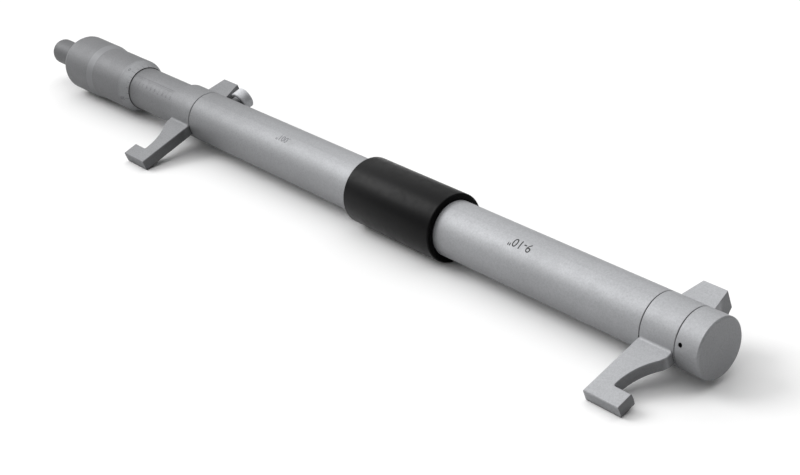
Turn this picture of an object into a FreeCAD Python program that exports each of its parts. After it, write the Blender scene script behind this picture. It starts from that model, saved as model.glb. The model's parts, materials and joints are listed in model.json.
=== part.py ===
import FreeCAD, Part
import math
import os

# Inside micrometer, 9 to 10 inch, shown closed at 9 inch. Millimetres and degrees.
# The shapes are drawn with the tube along X, the long jaw arms towards -Y and their flat tops up, and the
# finished pieces are all turned about X until the tool lies on its grip and on the two jaw tips.
# X = 0 is the flat outer face of the end cap, and every other place along X is counted back from it.

V = FreeCAD.Vector
INCH = 25.4

# Measuring range
MIN_REACH = 9.0 * INCH          # between the two contact faces when closed
TRAVEL = 1.0 * INCH             # how far the screw opens the jaws
LOCK_PITCH = 0.5                # thread pitch of the lock screw
LOCK_TURN = 0.5                 # part of a turn from free to locked

# Clearances
RUN = 0.05                      # between pieces that slide or turn on each other
THIMBLE_RUN = 0.08              # between the thimble and the graduated sleeve
JOINT_GAP = 0.10                # between the closed tube and the barrel jaw
PIN_ROOM = 0.10                 # at the blind end of a key, slot or seat
OVER = 1.0                      # how far a cutting shape runs past what it cuts

# Main tube and what closes its end
TUBE_R = 8.67
TUBE_WALL = 2.42
RIM = 0.22                      # chamfer on the turned rims that meet at a joint line
CAP_LENGTH = 7.6
CAP_THREAD_R = 4.6
CAP_THREAD_LENGTH = 5.0
SPANNER_R = 0.65
SPANNER_DEPTH = 1.8
SPANNER_SETBACK = 5.87          # from the cap's outer face to the hole
SPANNER_ANGLE = 145.8           # from +Y towards +Z
PLUG_LENGTH = 26.0              # plug inside the tube
DOWEL_R = 0.8
DOWEL_LENGTH = 6.0
DOWEL_ANGLE = 90.0

# Grip
GRIP_R = 10.67
GRIP_LENGTH = 38.9
GRIP_SETBACK = 97.9             # from the cap's outer face to the grip
GRIP_RIM = 0.5

# Jaws: sizes across the plan are from the contact plane and from the tube's axis
COLLAR_WIDTH = 11.5
ARM_TOP = 2.32
ARM_BOTTOM = -1.45
ARM_EDGE = 0.22                 # chamfer round the arms
FRONT_REACH = 29.59
ARM_LEAN = 0.4                  # the long arm widens by this much towards its tip
HOOK_WIDTH = 5.25
NOTCH_DEPTH = 5.95
NOTCH_SAG = 1.27                # hollow of the curved edge beside the notch
NOTCH_ROUND = 0.6
THROAT_Y = 12.2                 # where the curved edge ends
THROAT_INSET = 1.2
SHOULDER_Y = 10.4
SHOULDER_INSET = 0.4
SHOULDER_ROUND = 0.8
CROWN_R = 6.5                   # crown of the contact face
ROOT_ROUND = 0.9                # where the flat top of an arm runs into the collar
REAR_REACH = 15.85
REAR_BOTTOM = -3.5
REAR_INSET_BACK = 1.85
REAR_INSET_FRONT = 1.78
REAR_SIDE_Y = 9.3
REAR_FOOT_ANGLE = -49.7         # where the underside of the short arm runs out on the collar

# Barrel, sleeve and thimble
SHOULDER_STEP = 0.70            # step that the barrel jaw is held against
SLEEVE_WALL = 0.8
SCALE_SPARE = 3.4               # sleeve left in sight when fully open
SLEEVE_COVER = 3.5              # sleeve under the thimble when closed
GUIDE_STAY = 36.3               # barrel left inside the tube when fully open
NUT_LENGTH = 7.5
NUT_WALL = 1.4
NUT_SLOT = 0.8
NUT_SLOTS = 3
RING_LENGTH = 4.5
RING_WALL = 1.5
RING_SETBACK = 1.2
RING_NOTCH = 1.6
THIMBLE_LIP = 0.2
THIMBLE_BEVEL = 4.5
THIMBLE_WALL = 1.9
THIMBLE_STEP = 0.6
THIMBLE_STEP_LENGTH = 3.5
THIMBLE_REAR_LENGTH = 17.0
THIMBLE_END_WALL = 5.5
THIMBLE_ROUND = 2.0
THIMBLE_RELIEF = 0.5
THIMBLE_LAND = 7.0              # bore of the thimble that runs on the sleeve
TRAVEL_SPARE = 1.6
SET_SCREW_R = 1.25
SET_SCREW_SINK = 0.3
SET_SCREW_BITE = 0.3
SET_SCREW_HEX = 0.65

# Spindle and its thrust bearing
THREAD_R = 3.6
ROD_R = 3.0
JOURNAL_R = 2.0
BORE_ROOM = 0.75                # barrel bore clear of the rod
HUB_R = 3.0                     # parallel seat of the thimble, behind the screw
BUSH_LENGTH = 8.0
BUSH_ROOM = 5.0
COLLAR_LENGTH = 3.5
COLLAR_R = 4.4
COLLAR_PIN_R = 0.5
BUSH_PIN_R = 0.75

# Guide key and lock
KEY_R = 1.2
KEY_SETBACK = 18.6
KEY_DEPTH = 1.2
KEY_SINK = 0.15
SLOT_SPARE = 0.6
LOCK_SETBACK = 4.1
LOCK_R = 1.45
LOCK_NECK_R = 2.4
LOCK_HEAD_R = 3.7
LOCK_HEAD_UNDER = 1.75          # underside of the head above the tube
LOCK_HEAD_THICK = 3.8
LOCK_NECK_GAP = 0.43
LOCK_HEAD_RIM = 0.3
PAD_LENGTH = 1.5
PAD_R = 1.3

# Ratchet stop
KNOB_R = 4.75
KNOB_LENGTH = 18.2
KNOB_GAP = 0.3
KNOB_WALL = 0.85
KNOB_END = 7.5
KNOB_ROUND = 1.4
TAIL_R = 2.2
TAIL_LENGTH = 5.0
SEAT_LENGTH = 3.5
TEETH = 12
TOOTH_DEPTH = 0.5
TOOTH_WIDTH = 1.1
TOOTH_PLAY = 0.05
DISC_LENGTH = 1.6
DISC_LUG = 1.6
DISC_LUG_RISE = 0.35
DISC_RUN = 0.15                 # between the disc, the knob and the spindle tail
SPRING_WIRE = 0.5
SPRING_TURNS = 3
SCREW_R = 1.2
SCREW_HEAD_R = 2.2
SCREW_HEAD = 1.7
SCREW_GRIP = 3.5
SCREW_SLOT = 0.55
SCREW_SLOT_DEPTH = 0.85
SCREW_SINK = 0.2                # screw head below the end of the knob

# Radii that follow from the sizes above
BORE_R = TUBE_R - TUBE_WALL
GUIDE_R = BORE_R - RUN
SEAT_R = GUIDE_R + SHOULDER_STEP
SLEEVE_R = SEAT_R + SLEEVE_WALL
THIMBLE_BORE_R = SLEEVE_R + THIMBLE_RUN
THIMBLE_FRONT_R = SLEEVE_R + THIMBLE_WALL
THIMBLE_REAR_R = THIMBLE_FRONT_R + THIMBLE_STEP
BARREL_BORE_R = ROD_R + BORE_ROOM
NUT_BORE_R = THREAD_R + RUN
NUT_R = NUT_BORE_R + NUT_WALL
KNOB_BORE_R = KNOB_R - KNOB_WALL
DISC_R = KNOB_BORE_R - DISC_RUN
DISC_BORE_R = TAIL_R + DISC_RUN
WALL_MID_R = (GUIDE_R + TUBE_R) / 2
LOCK_TRAVEL = LOCK_PITCH * LOCK_TURN

# Places along X that follow from the sizes above
CONTACT_X = -CAP_LENGTH
TUBE_END_X = CONTACT_X - COLLAR_WIDTH
FAR_CONTACT_X = CONTACT_X - MIN_REACH
FAR_COLLAR_X = FAR_CONTACT_X + COLLAR_WIDTH
TUBE_START_X = FAR_COLLAR_X + JOINT_GAP
THIMBLE_EDGE_X = FAR_CONTACT_X - TRAVEL - SCALE_SPARE
SLEEVE_END_X = THIMBLE_EDGE_X - SLEEVE_COVER
NUT_END_X = SLEEVE_END_X - NUT_LENGTH
THIMBLE_FLOOR_X = NUT_END_X - TRAVEL - TRAVEL_SPARE
THIMBLE_BACK_X = THIMBLE_FLOOR_X - THIMBLE_END_WALL
BARREL_END_X = TUBE_START_X + TRAVEL + GUIDE_STAY
SPINDLE_SHOULDER_X = BARREL_END_X + BUSH_ROOM
BUSH_START_X = SPINDLE_SHOULDER_X + RUN
BUSH_END_X = BUSH_START_X + BUSH_LENGTH
COLLAR_START_X = BUSH_END_X + RUN
SPINDLE_END_X = COLLAR_START_X + COLLAR_LENGTH
KEY_X = TUBE_START_X + KEY_SETBACK
LOCK_X = TUBE_START_X + LOCK_SETBACK
TAIL_END_X = THIMBLE_BACK_X - TAIL_LENGTH
SEAT_FACE_X = THIMBLE_BACK_X - SEAT_LENGTH
DISC_BACK_X = SEAT_FACE_X - TOOTH_PLAY - DISC_LENGTH
KNOB_START_X = THIMBLE_BACK_X - KNOB_GAP
KNOB_END_X = KNOB_START_X - KNOB_LENGTH
KNOB_FLOOR_X = KNOB_END_X + KNOB_END
SCREW_HEAD_X = KNOB_END_X + SCREW_HEAD + SCREW_SINK

# Turn about X that lays the grip and the lower corners of both jaw tips on one plane
TIP_R = math.hypot(FRONT_REACH, ARM_BOTTOM)
REST_TILT = math.degrees(math.asin(GRIP_R / TIP_R) - math.atan2(-ARM_BOTTOM, FRONT_REACH))


def lathe(outline):
    """Solid turned about X from its closed half outline, a list of (x, radius)."""
    points = [V(x, 0, r) for x, r in outline]
    face = Part.Face(Part.makePolygon(points + points[:1]))
    return face.revolve(V(0, 0, 0), V(1, 0, 0), 360)


def rod(x0, x1, radius):
    """Round bar along the axis."""
    return Part.makeCylinder(radius, x1 - x0, V(x0, 0, 0), V(1, 0, 0))


def eased(x, radius, size):
    """Three outline points that ease a rear outer corner, as two flats across a quarter round."""
    cut = size * (1 - math.sqrt(0.5))
    return [(x + size, radius), (x + cut, radius - cut), (x, radius - size)]


def ring(x0, x1, inner, outer, rim=0.0):
    """Plain ring along the axis, with chamfered outer rims."""
    if rim:
        return lathe([(x0, inner), (x0, outer - rim), (x0 + rim, outer), (x1 - rim, outer), (x1, outer - rim),
                      (x1, inner)])
    return lathe([(x0, inner), (x0, outer), (x1, outer), (x1, inner)])


def radial_pin(x, angle, r0, r1, radius):
    """Round bar that points away from the axis, from radius r0 to r1."""
    out = V(0, math.cos(math.radians(angle)), math.sin(math.radians(angle)))
    return Part.makeCylinder(radius, r1 - r0, V(x, 0, 0) + out * r0, out)


def prism(points, z0, z1):
    """Flat outline in plan, of points or ready edges, raised from z0 to z1."""
    face = Part.Face(Part.Wire(points)) if hasattr(points[0], "Curve") else Part.Face(Part.makePolygon(points))
    face.translate(V(0, 0, z0))
    return face.extrude(V(0, 0, z1 - z0))


def line(a, b):
    return Part.LineSegment(a, b).toShape()


def upright_edges(shape, places):
    """Edges parallel to Z that stand at the given plan points."""
    found = []
    for edge in shape.Edges:
        a, b = edge.Vertexes[0].Point, edge.Vertexes[-1].Point
        if math.hypot(a.x - b.x, a.y - b.y) < 1e-6 and any(math.hypot(a.x - p.x, a.y - p.y) < 1e-6 for p in places):
            found.append(edge)
    return found


def chamfered_sides(shape, z, skip_y, size):
    """Chamfers the edges of the flat face at height z, but not where it runs into the collar."""
    edges = [e for e in shape.Edges
             if all(abs(v.Point.z - z) < 1e-6 for v in e.Vertexes)
             and not all(abs(v.Point.y - skip_y) < 1e-6 for v in e.Vertexes)]
    return shape.makeChamfer(size, edges)


def front_arm():
    """Long arm: straight back edge, hooked tip with a crowned contact face, hollow curved edge at the notch."""
    root_y = -WALL_MID_R
    hook_y = -(FRONT_REACH - HOOK_WIDTH)
    back_root = V(-COLLAR_WIDTH, root_y, 0)
    back_start = V(-COLLAR_WIDTH, -TUBE_R - JOINT_GAP, 0)
    back_tip = V(-COLLAR_WIDTH - ARM_LEAN, -FRONT_REACH, 0)
    tip = V(0, -FRONT_REACH, 0)
    hook = V(0, hook_y, 0)
    notch = V(-NOTCH_DEPTH, hook_y, 0)
    throat = V(-THROAT_INSET, -THROAT_Y, 0)
    shoulder = V(-SHOULDER_INSET, -SHOULDER_Y, 0)
    front_root = V(-SHOULDER_INSET, root_y, 0)
    along = (throat - notch).normalize()
    middle = (notch + throat) * 0.5 + V(-along.y, along.x, 0) * NOTCH_SAG
    outline = [line(back_root, back_start), line(back_start, back_tip), line(back_tip, tip), line(tip, hook),
               line(hook, notch), Part.Arc(notch, middle, throat).toShape(), line(throat, shoulder),
               line(shoulder, front_root), line(front_root, back_root)]
    arm = prism(outline, ARM_BOTTOM, ARM_TOP)
    arm = arm.makeFillet(NOTCH_ROUND, upright_edges(arm, [notch]))
    arm = arm.makeFillet(SHOULDER_ROUND, upright_edges(arm, [throat, shoulder]))
    arm = chamfered_sides(arm, ARM_TOP, root_y, ARM_EDGE)
    arm = chamfered_sides(arm, ARM_BOTTOM, root_y, ARM_EDGE)
    reach = HOOK_WIDTH + 2 * ARM_EDGE
    height = ARM_TOP - ARM_BOTTOM
    off = Part.makeBox(2 * ARM_EDGE + height, reach, 2 * height,
                       V(-2 * ARM_EDGE, -FRONT_REACH - ARM_EDGE, ARM_BOTTOM - height / 2))
    crown = Part.makeCylinder(CROWN_R, reach, V(-CROWN_R, -FRONT_REACH - ARM_EDGE, (ARM_TOP + ARM_BOTTOM) / 2),
                              V(0, 1, 0))
    return arm.cut(off.cut(crown))


def rear_arm():
    """Short arm: tapered in plan, flat on top, with an underside that slopes down to the collar."""
    root_y = WALL_MID_R
    plan = [V(-COLLAR_WIDTH, 0, 0), V(-COLLAR_WIDTH, REAR_SIDE_Y, 0), V(-COLLAR_WIDTH + REAR_INSET_BACK, REAR_REACH, 0),
            V(-REAR_INSET_FRONT, REAR_REACH, 0), V(-SHOULDER_INSET, root_y, 0), V(-SHOULDER_INSET, 0, 0)]
    block = prism(plan + plan[:1], -TUBE_R, ARM_TOP)
    foot = V(0, math.cos(math.radians(REAR_FOOT_ANGLE)), math.sin(math.radians(REAR_FOOT_ANGLE)))
    side = [V(0, root_y, ARM_TOP), V(0, REAR_REACH, ARM_TOP), V(0, REAR_REACH, REAR_BOTTOM), foot * TUBE_R,
            foot * WALL_MID_R]
    profile = Part.Face(Part.makePolygon(side + side[:1]))
    profile.translate(V(-2 * COLLAR_WIDTH, 0, 0))
    arm = block.common(profile.extrude(V(3 * COLLAR_WIDTH, 0, 0)))
    end_edges = [e for e in arm.Edges if all(abs(v.Point.y - REAR_REACH) < 1e-6 for v in e.Vertexes)]
    return arm.makeChamfer(ARM_EDGE, end_edges)


def jaw():
    """Collar with both arms, its contact plane at x = 0 and facing +X."""
    body = ring(-COLLAR_WIDTH, 0, GUIDE_R / 2, TUBE_R, RIM)
    body = body.fuse([front_arm(), rear_arm()]).removeSplitter()
    roots = [e for e in body.Edges
             if isinstance(e.Curve, Part.Line) and all(abs(v.Point.z - ARM_TOP) < 1e-6 for v in e.Vertexes)
             and all(abs(math.hypot(v.Point.y, v.Point.z) - TUBE_R) < 1e-6 for v in e.Vertexes)]
    body = body.makeFillet(ROOT_ROUND, roots)
    return body.cut(rod(-COLLAR_WIDTH - OVER, OVER, GUIDE_R))


def dowel(x_middle):
    """Dowel across the joint of tube and jaw collar, along X in the middle of the wall."""
    up = math.radians(DOWEL_ANGLE)
    place = V(x_middle - DOWEL_LENGTH / 2, WALL_MID_R * math.cos(up), WALL_MID_R * math.sin(up))
    return Part.makeCylinder(DOWEL_R, DOWEL_LENGTH, place, V(1, 0, 0))


def main_tube():
    tube = ring(TUBE_START_X, TUBE_END_X, BORE_R, TUBE_R, RIM)
    holes = [dowel(TUBE_END_X),
             radial_pin(KEY_X, -90, BORE_R - OVER, TUBE_R + OVER, KEY_R),
             radial_pin(BUSH_START_X + BUSH_LENGTH / 2, -90, BORE_R - OVER, TUBE_R + OVER, BUSH_PIN_R),
             radial_pin(LOCK_X, 0, BORE_R - OVER, TUBE_R + OVER, LOCK_R + RUN)]
    return tube.cut(holes)


def grip_sleeve():
    return ring(-GRIP_SETBACK - GRIP_LENGTH, -GRIP_SETBACK, TUBE_R, GRIP_R, GRIP_RIM)


def end_plug():
    """Plug in the tube's bore, with the spigot that carries the jaw and the threaded nose for the cap."""
    nose_x = CONTACT_X + CAP_THREAD_LENGTH
    return lathe([(TUBE_END_X - PLUG_LENGTH, 0), (TUBE_END_X - PLUG_LENGTH, BORE_R), (TUBE_END_X, BORE_R),
                  (TUBE_END_X, GUIDE_R), (CONTACT_X, GUIDE_R), (CONTACT_X, CAP_THREAD_R), (nose_x, CAP_THREAD_R),
                  (nose_x, 0)])


def tube_jaw():
    shape = jaw()
    shape.translate(V(CONTACT_X, 0, 0))
    return shape.cut(dowel(TUBE_END_X))


def end_cap():
    depth = CONTACT_X + CAP_THREAD_LENGTH + PIN_ROOM
    cap = lathe([(CONTACT_X, CAP_THREAD_R), (CONTACT_X, TUBE_R - RIM), (CONTACT_X + RIM, TUBE_R),
                 (-2 * RIM, TUBE_R), (0, TUBE_R - 2 * RIM), (0, 0), (depth, 0), (depth, CAP_THREAD_R)])
    return cap.cut(radial_pin(-SPANNER_SETBACK, SPANNER_ANGLE, TUBE_R - SPANNER_DEPTH, TUBE_R + OVER, SPANNER_R))


def thrust_bush():
    bush = ring(BUSH_START_X, BUSH_END_X, JOURNAL_R + RUN, BORE_R)
    return bush.cut(bush_pin())


def bush_pin():
    return radial_pin(BUSH_START_X + BUSH_LENGTH / 2, -90, (JOURNAL_R + BORE_R) / 2, TUBE_R - KEY_SINK, BUSH_PIN_R)


def guide_key():
    return radial_pin(KEY_X, -90, GUIDE_R - KEY_DEPTH, TUBE_R - KEY_SINK, KEY_R)


def barrel():
    """Guide tube that slides in the main tube, seat for the jaw and sleeve, and split nut for the spindle."""
    ring_x = NUT_END_X + RING_SETBACK
    body = lathe([(NUT_END_X, NUT_BORE_R), (NUT_END_X, NUT_R), (SLEEVE_END_X, NUT_R), (SLEEVE_END_X, SEAT_R),
                  (FAR_CONTACT_X, SEAT_R), (FAR_CONTACT_X, GUIDE_R), (BARREL_END_X, GUIDE_R),
                  (BARREL_END_X, BARREL_BORE_R), (SLEEVE_END_X, BARREL_BORE_R), (SLEEVE_END_X, NUT_BORE_R)])
    slots = []
    for i in range(NUT_SLOTS):
        slot = Part.makeBox(ring_x + RING_LENGTH - NUT_END_X + OVER, NUT_SLOT, NUT_R + OVER,
                            V(NUT_END_X - OVER, -NUT_SLOT / 2, 0))
        slot.rotate(V(0, 0, 0), V(1, 0, 0), i * 360 / NUT_SLOTS)
        slots.append(slot)
    key_room = KEY_R + RUN
    x0 = KEY_X - key_room - SLOT_SPARE
    x1 = KEY_X + TRAVEL + key_room + SLOT_SPARE
    depth_r = GUIDE_R - KEY_DEPTH - PIN_ROOM
    keyway = Part.makeBox(x1 - x0, 2 * key_room, GUIDE_R, V(x0, -key_room, -depth_r - GUIDE_R))
    return body.cut(slots + [keyway, jaw_set_screw_blank()])


def graduated_sleeve():
    return ring(SLEEVE_END_X, FAR_CONTACT_X, SEAT_R, SLEEVE_R)


def barrel_jaw():
    shape = jaw().mirror(V(0, 0, 0), V(1, 0, 0))
    shape.translate(V(FAR_CONTACT_X, 0, 0))
    hole = radial_pin(FAR_CONTACT_X + COLLAR_WIDTH / 2, -90, GUIDE_R - OVER, TUBE_R + OVER, SET_SCREW_R)
    return shape.cut(hole)


def jaw_set_screw_blank():
    return radial_pin(FAR_CONTACT_X + COLLAR_WIDTH / 2, -90, GUIDE_R - SET_SCREW_BITE, TUBE_R - SET_SCREW_SINK,
                      SET_SCREW_R)


def jaw_set_screw():
    """Grub screw with a hexagon socket that fixes the far jaw on the barrel."""
    corners = [V(SET_SCREW_HEX * math.cos(math.radians(60 * i)), SET_SCREW_HEX * math.sin(math.radians(60 * i)), 0)
               for i in range(7)]
    socket = prism(corners, -TUBE_R, -(GUIDE_R + TUBE_R) / 2)
    socket.translate(V(FAR_CONTACT_X + COLLAR_WIDTH / 2, 0, 0))
    return jaw_set_screw_blank().cut(socket)


def adjusting_nut():
    """Ring that closes the split nut, with two spanner notches in its end."""
    x0 = NUT_END_X + RING_SETBACK
    nut = ring(x0, x0 + RING_LENGTH, NUT_R, NUT_R + RING_WALL)
    notch = Part.makeBox(RING_NOTCH, 4 * NUT_R, RING_NOTCH, V(x0 - RING_NOTCH / 2, -2 * NUT_R, -RING_NOTCH / 2))
    return nut.cut(notch)


def spindle():
    """Journal, plain rod, screw and the seat and tail that carry the thimble and the ratchet."""
    thread_x = SLEEVE_END_X + NUT_LENGTH
    body = lathe([(SPINDLE_END_X, 0), (SPINDLE_END_X, JOURNAL_R), (SPINDLE_SHOULDER_X, JOURNAL_R),
                  (SPINDLE_SHOULDER_X, ROD_R), (thread_x, ROD_R),
                  (thread_x - (THREAD_R - ROD_R), THREAD_R), (THIMBLE_FLOOR_X, THREAD_R),
                  (THIMBLE_FLOOR_X, HUB_R), (THIMBLE_BACK_X, HUB_R), (THIMBLE_BACK_X, TAIL_R), (TAIL_END_X, TAIL_R),
                  (TAIL_END_X, SCREW_R), (TAIL_END_X + SCREW_GRIP, SCREW_R), (TAIL_END_X + SCREW_GRIP, 0)])
    return body.cut(collar_pin())


def spindle_collar():
    collar = ring(COLLAR_START_X, SPINDLE_END_X, JOURNAL_R, COLLAR_R)
    return collar.cut(collar_pin())


def collar_pin():
    across = COLLAR_R - RIM
    return Part.makeCylinder(COLLAR_PIN_R, 2 * across, V((COLLAR_START_X + SPINDLE_END_X) / 2, -across, 0), V(0, 1, 0))


def thimble():
    """Bevelled front edge, plain front, raised rear with a stepped ring, and the hub on the spindle."""
    step_x = THIMBLE_BACK_X + THIMBLE_REAR_LENGTH
    land_x = THIMBLE_EDGE_X - THIMBLE_LAND
    relief_r = THIMBLE_BORE_R + THIMBLE_RELIEF
    return lathe([(THIMBLE_EDGE_X, THIMBLE_BORE_R), (THIMBLE_EDGE_X, THIMBLE_BORE_R + THIMBLE_LIP),
                  (THIMBLE_EDGE_X - THIMBLE_BEVEL, THIMBLE_FRONT_R), (step_x + THIMBLE_STEP_LENGTH, THIMBLE_FRONT_R),
                  (step_x, THIMBLE_REAR_R)] + eased(THIMBLE_BACK_X, THIMBLE_REAR_R, THIMBLE_ROUND)
                 + [(THIMBLE_BACK_X, HUB_R), (THIMBLE_FLOOR_X, HUB_R), (THIMBLE_FLOOR_X, relief_r),
                    (land_x, relief_r), (land_x, THIMBLE_BORE_R)])


def lock_screw():
    """Thumb screw on the far side of the tube: head, neck and stem along Y."""
    tip = GUIDE_R + RUN + LOCK_TRAVEL + PAD_LENGTH + RUN
    neck = TUBE_R + LOCK_NECK_GAP
    under = TUBE_R + LOCK_HEAD_UNDER
    top = under + LOCK_HEAD_THICK
    outline = [(tip, 0), (tip, LOCK_R), (neck, LOCK_R), (neck, LOCK_NECK_R), (under, LOCK_NECK_R),
               (under, LOCK_HEAD_R - LOCK_HEAD_RIM), (under + LOCK_HEAD_RIM, LOCK_HEAD_R),
               (top - LOCK_HEAD_RIM, LOCK_HEAD_R), (top, LOCK_HEAD_R - LOCK_HEAD_RIM), (top, 0)]
    shape = lathe(outline)
    shape.rotate(V(0, 0, 0), V(0, 0, 1), 90)
    shape.translate(V(LOCK_X, 0, 0))
    return shape


def lock_pad():
    start = GUIDE_R + RUN + LOCK_TRAVEL
    return radial_pin(LOCK_X, 0, start, start + PAD_LENGTH, PAD_R)


def tooth(x, play):
    """One saw tooth, a ridge that stands up from the seat's face plane and runs out along Z."""
    width = TOOTH_WIDTH - 2 * play
    flank = [V(x, -width / 2, 0), V(x, width / 2, 0), V(x + TOOTH_DEPTH - play, -width / 2, 0)]
    face = Part.Face(Part.makePolygon(flank + flank[:1]))
    return face.extrude(V(0, 0, KNOB_R))


def toothed(x, play):
    """The ratchet's ring of teeth, cut off round at the disc's outer radius and clear of the spindle tail."""
    ridges = []
    for i in range(TEETH):
        ridge = tooth(x, play)
        ridge.rotate(V(0, 0, 0), V(1, 0, 0), i * 360 / TEETH)
        ridges.append(ridge)
    band = ring(x - RUN, x + 2 * TOOTH_DEPTH, DISC_BORE_R, DISC_R)
    return [r.common(band) for r in ridges]


def ratchet_seat():
    """Fixed half of the ratchet, with a saw-toothed face, screwed on the spindle tail."""
    body = ring(SEAT_FACE_X, THIMBLE_BACK_X, TAIL_R, DISC_R)
    cutters = []
    for i in range(TEETH):
        gap = tooth(SEAT_FACE_X, 0)
        gap.rotate(V(0, 0, 0), V(1, 0, 0), i * 360 / TEETH)
        cutters.append(gap)
    return body.cut(cutters)


def ratchet_disc():
    """Sliding half of the ratchet: its teeth sit in the seat's, and two lugs key it to the knob."""
    face_x = SEAT_FACE_X - TOOTH_PLAY
    body = ring(DISC_BACK_X, face_x, DISC_BORE_R, DISC_R)
    lug = Part.makeBox(DISC_LENGTH, 2 * (DISC_R + DISC_LUG_RISE), DISC_LUG,
                       V(DISC_BACK_X, -DISC_R - DISC_LUG_RISE, -DISC_LUG / 2))
    lug = lug.cut(rod(DISC_BACK_X - OVER, face_x + OVER, DISC_R - RUN))
    return body.fuse([lug] + toothed(face_x, TOOTH_PLAY)).removeSplitter()


def ratchet_knob():
    """Cap that turns on the ratchet screw, with two keyways for the disc."""
    body = lathe([(KNOB_START_X, 0), (KNOB_START_X, KNOB_R)] + eased(KNOB_END_X, KNOB_R, KNOB_ROUND)
                 + [(KNOB_END_X, 0)])
    keyway = Part.makeBox(KNOB_START_X - KNOB_FLOOR_X, 2 * (DISC_R + DISC_LUG_RISE + RUN), DISC_LUG + 2 * RUN,
                          V(KNOB_FLOOR_X, -DISC_R - DISC_LUG_RISE - RUN, -DISC_LUG / 2 - RUN))
    return body.cut([rod(KNOB_FLOOR_X, KNOB_START_X + OVER, KNOB_BORE_R), keyway,
                     rod(KNOB_END_X - OVER, KNOB_FLOOR_X + OVER, SCREW_R + RUN),
                     rod(KNOB_END_X - OVER, SCREW_HEAD_X, SCREW_HEAD_R + RUN)])


def ratchet_spring():
    """Coil spring of square wire between the disc and the floor of the knob."""
    start = KNOB_FLOOR_X + SPRING_WIRE / 2 + RUN
    height = DISC_BACK_X - SPRING_WIRE / 2 - RUN - start
    radius = (TAIL_R + KNOB_BORE_R) / 2
    helix = Part.makeHelix(height / SPRING_TURNS, height, radius)
    half = SPRING_WIRE / 2
    corners = [V(radius - half, 0, -half), V(radius + half, 0, -half), V(radius + half, 0, half),
               V(radius - half, 0, half), V(radius - half, 0, -half)]
    coil = Part.Wire(helix).makePipeShell([Part.makePolygon(corners)], True, True)
    coil.rotate(V(0, 0, 0), V(0, 1, 0), 90)
    coil.translate(V(start, 0, 0))
    return coil


def ratchet_screw():
    """Shoulder screw that holds the knob on the spindle tail."""
    head_x = SCREW_HEAD_X - RUN
    body = rod(head_x, TAIL_END_X + SCREW_GRIP, SCREW_R).fuse(rod(head_x - SCREW_HEAD, head_x, SCREW_HEAD_R))
    slot = Part.makeBox(SCREW_SLOT_DEPTH, 4 * SCREW_HEAD_R, SCREW_SLOT,
                        V(head_x - SCREW_HEAD, -2 * SCREW_HEAD_R, -SCREW_SLOT / 2))
    return body.removeSplitter().cut(slot)


PIECES = [main_tube, grip_sleeve, end_plug, tube_jaw, end_cap, thrust_bush, bush_pin, guide_key, barrel,
          graduated_sleeve, barrel_jaw, jaw_set_screw, adjusting_nut, spindle, spindle_collar, collar_pin, thimble,
          lock_screw, lock_pad, ratchet_seat, ratchet_disc, ratchet_knob, ratchet_spring, ratchet_screw]


def save(name, shape):
    shape.rotate(V(0, 0, 0), V(1, 0, 0), REST_TILT)
    shape.exportStep(os.path.join("parts", name + ".step"))


os.makedirs("parts", exist_ok=True)
for piece in PIECES:
    save(piece.__name__, piece())
save("jaw_dowel", dowel(TUBE_END_X))
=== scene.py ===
"""Finish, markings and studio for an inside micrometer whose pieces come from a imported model, in metres."""

import json
import math

import bmesh
import bpy
from bpy.props import FloatProperty, FloatVectorProperty, IntProperty, PointerProperty, StringProperty
from mathutils import Matrix, Vector


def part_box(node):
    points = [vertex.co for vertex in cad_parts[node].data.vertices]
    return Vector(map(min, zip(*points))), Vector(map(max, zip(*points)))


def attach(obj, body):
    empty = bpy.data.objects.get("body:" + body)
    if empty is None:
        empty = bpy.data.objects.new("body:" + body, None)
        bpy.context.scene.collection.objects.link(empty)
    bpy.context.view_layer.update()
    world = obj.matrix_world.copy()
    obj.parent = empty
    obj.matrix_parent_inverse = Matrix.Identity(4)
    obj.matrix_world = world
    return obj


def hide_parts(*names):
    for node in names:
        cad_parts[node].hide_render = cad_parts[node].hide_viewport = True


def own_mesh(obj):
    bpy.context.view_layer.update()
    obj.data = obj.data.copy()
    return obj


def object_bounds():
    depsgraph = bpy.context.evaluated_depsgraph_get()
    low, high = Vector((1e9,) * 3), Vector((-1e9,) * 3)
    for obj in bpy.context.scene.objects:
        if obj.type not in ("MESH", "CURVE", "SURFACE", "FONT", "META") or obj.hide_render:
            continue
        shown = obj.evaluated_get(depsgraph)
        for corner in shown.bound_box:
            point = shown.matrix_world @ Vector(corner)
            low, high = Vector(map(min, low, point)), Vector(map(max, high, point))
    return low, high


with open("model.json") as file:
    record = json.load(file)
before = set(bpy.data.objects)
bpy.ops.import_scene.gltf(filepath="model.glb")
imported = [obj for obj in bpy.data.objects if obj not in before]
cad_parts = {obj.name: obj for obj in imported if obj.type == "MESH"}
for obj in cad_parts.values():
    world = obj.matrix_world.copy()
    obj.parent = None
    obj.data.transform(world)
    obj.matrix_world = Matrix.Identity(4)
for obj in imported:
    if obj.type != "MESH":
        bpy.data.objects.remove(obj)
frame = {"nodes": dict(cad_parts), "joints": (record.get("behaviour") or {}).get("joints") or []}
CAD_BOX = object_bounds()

bl_info = {
    "name": "Inside micrometer looks",
    "version": (1, 0, 0),
    "blender": (4, 5, 0),
    "location": "3D View > Sidebar > Micrometer",
    "description": "Surface finishes, grip, engraved scales and a plain studio for an inside micrometer",
    "category": "Object",
}

MM = 0.001
MATCH = 0.001 * MM              # points nearer than this count as one place
NODES = frame["nodes"]

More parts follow.
